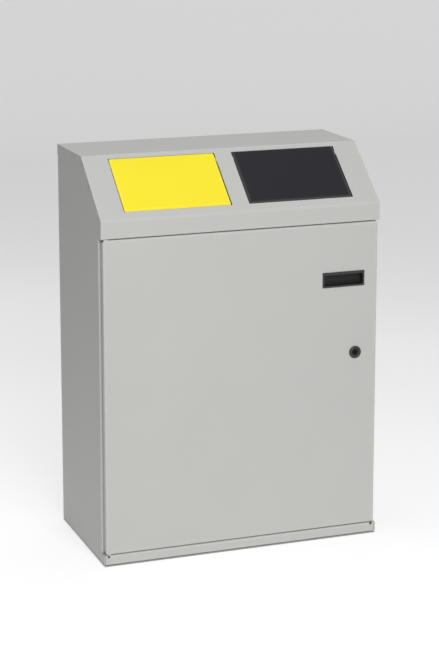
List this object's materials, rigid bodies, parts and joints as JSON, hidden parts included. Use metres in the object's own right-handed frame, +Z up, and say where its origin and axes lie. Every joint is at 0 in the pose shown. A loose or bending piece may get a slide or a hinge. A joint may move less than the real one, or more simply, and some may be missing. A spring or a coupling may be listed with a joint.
{
  "type": "double recycling bin",
  "caption": "Free-standing sheet-steel cabinet with a hinged locking door, two sprung flaps in a sloped hood and lift-out liners for sorted waste.",
  "frame": {"origin": "on the floor, at the middle of the whole object's footprint, with the feet's undersides at z = 0", "axes": "+X to the right seen from the front, +Y from the door to the back, +Z up"},
  "size_m": [0.66, 0.3416, 0.905],
  "materials": {
    "grey_powder_coat": "light grey powder coat, fine orange-peel, semi-matt",
    "yellow_powder_coat": "bright yellow powder coat, semi-matt",
    "black_powder_coat": "black powder coat with a bluish cast, satin",
    "zinc_plated_steel": "bright zinc plating",
    "galvanised_steel": "hot-dip galvanised sheet with a fine spangle",
    "black_plastic": "black moulded nylon, fine spark-eroded grain",
    "natural_nylon": "uncoloured nylon",
    "black_rubber": "black rubber"
  },
  "bodies": {
    "root": {"side_panel_left": "grey_powder_coat", "side_panel_right": "grey_powder_coat", "back_panel": "grey_powder_coat", "floor_pan": "grey_powder_coat", "plinth_front": "grey_powder_coat", "hood_sheet": "grey_powder_coat", "door_head_rail": "grey_powder_coat", "hood_divider": "grey_powder_coat", "liner_guide": "grey_powder_coat", "hinge_pin_top": "zinc_plated_steel", "hinge_pin_bottom": "zinc_plated_steel", "strike_plate": "zinc_plated_steel", "strike_rivet_upper": "zinc_plated_steel", "strike_rivet_lower": "zinc_plated_steel", "foot_front_left": "black_rubber", "foot_rear_left": "black_rubber", "back_rivet_left_1": "zinc_plated_steel", "back_rivet_left_2": "zinc_plated_steel", "back_rivet_left_3": "zinc_plated_steel", "back_rivet_left_4": "zinc_plated_steel", "foot_front_right": "black_rubber", "foot_rear_right": "black_rubber", "back_rivet_right_1": "zinc_plated_steel", "back_rivet_right_2": "zinc_plated_steel", "back_rivet_right_3": "zinc_plated_steel", "back_rivet_right_4": "zinc_plated_steel", "door_buffer_upper": "black_rubber", "door_buffer_lower": "black_rubber", "flap_axle_left": "zinc_plated_steel", "flap_spring_left": "zinc_plated_steel", "flap_buffer_left_outer": "black_rubber", "flap_buffer_left_inner": "black_rubber", "flap_axle_right": "zinc_plated_steel", "flap_spring_right": "zinc_plated_steel", "flap_buffer_right_outer": "black_rubber", "flap_buffer_right_inner": "black_rubber"},
    "door": {"door_skin": "grey_powder_coat", "door_stiffener": "grey_powder_coat", "door_bush_top": "natural_nylon", "door_bush_bottom": "natural_nylon", "pull_handle": "black_plastic", "lock_housing": "black_plastic", "lock_nut": "zinc_plated_steel"},
    "lock": {"lock_barrel": "black_plastic", "lock_cam": "zinc_plated_steel", "lock_cam_screw": "zinc_plated_steel"},
    "flap_left": {"flap_panel_left": "yellow_powder_coat", "flap_bush_left_outer": "natural_nylon", "flap_bush_left_inner": "natural_nylon"},
    "left_bin": {"liner_left": "galvanised_steel"},
    "left_bail": {"bail_left": "zinc_plated_steel", "bail_grip_left": "black_plastic"},
    "flap_right": {"flap_panel_right": "black_powder_coat", "flap_bush_right_outer": "natural_nylon", "flap_bush_right_inner": "natural_nylon"},
    "right_bin": {"liner_right": "galvanised_steel"},
    "right_bail": {"bail_right": "zinc_plated_steel", "bail_grip_right": "black_plastic"}
  },
  "joints": [
    {"name": "door_hinge", "type": "hinge", "parent": "root", "child": "door", "pos_m": [-0.3178, -0.16075, 0.3842], "axis": [0, 0, -1], "range_deg": [0, 110]},
    {"name": "lock_turn", "type": "hinge", "parent": "door", "child": "lock", "pos_m": [0.273, -0.16, 0.44], "axis": [0, -1, 0], "range_deg": [0, 90]},
    {"name": "flap_left_swing", "type": "hinge", "parent": "root", "child": "flap_left", "pos_m": [-0.14575, -0.03836, 0.87882], "axis": [1, 0, 0], "range_deg": [0, 65], "stiffness_Nm_per_rad": 0.5, "springref_deg": -57.3, "deforming": ["flap_spring_left"]},
    {"name": "flap_right_swing", "type": "hinge", "parent": "root", "child": "flap_right", "pos_m": [0.14575, -0.03836, 0.87882], "axis": [1, 0, 0], "range_deg": [0, 65], "stiffness_Nm_per_rad": 0.5, "springref_deg": -57.3, "deforming": ["flap_spring_right"]},
    {"name": "left_bin_lift", "type": "slide", "parent": "root", "child": "left_bin", "axis": [0, 0, 1], "range_m": [0, 0.025]},
    {"name": "right_bin_lift", "type": "slide", "parent": "root", "child": "right_bin", "axis": [0, 0, 1], "range_m": [0, 0.025]},
    {"name": "left_bail_swing", "type": "hinge", "parent": "left_bin", "child": "left_bail", "pos_m": [-0.15425, 0.01375, 0.518], "axis": [-1, 0, 0], "range_deg": [0, 105]},
    {"name": "right_bail_swing", "type": "hinge", "parent": "right_bin", "child": "right_bail", "pos_m": [0.15425, 0.01375, 0.518], "axis": [-1, 0, 0], "range_deg": [0, 105]}
  ]
}
